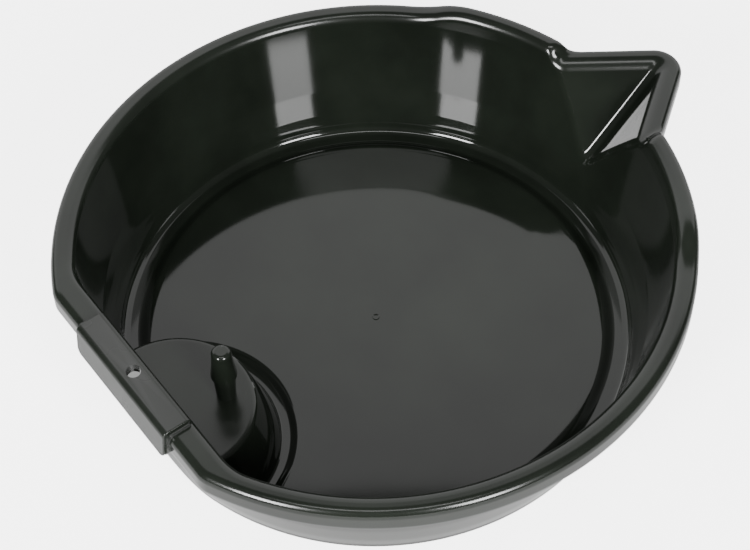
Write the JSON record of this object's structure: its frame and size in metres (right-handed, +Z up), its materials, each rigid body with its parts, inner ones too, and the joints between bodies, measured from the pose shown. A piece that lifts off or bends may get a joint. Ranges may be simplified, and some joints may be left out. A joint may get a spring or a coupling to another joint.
{
  "type": "oil drain pan",
  "caption": "Round oil drain pan with a rolled rim, V-shaped pouring spout, straight handle side with a sleeve grip, and a raised pedestal with a capped filter post.",
  "frame": {"origin": "on the plane the pan rests on, under the middle of the whole pan's bounding box", "axes": "+X towards the pouring spout, +Z up, the straight handle side at -X"},
  "size_m": [0.4381, 0.401, 0.1035],
  "materials": {
    "pan_plastic": "glossy",
    "grip_plastic": "satin",
    "post_plastic": "satin"
  },
  "bodies": {
    "pan": {"pan_body": "pan_plastic", "handle_grip": "grip_plastic", "filter_post": "post_plastic"},
    "cap": {"post_cap": "post_plastic"}
  },
  "joints": [
    {"name": "cap_pull", "type": "slide", "parent": "pan", "child": "cap", "axis": [0, 0, 1], "range_m": [0, 0.03]}
  ]
}
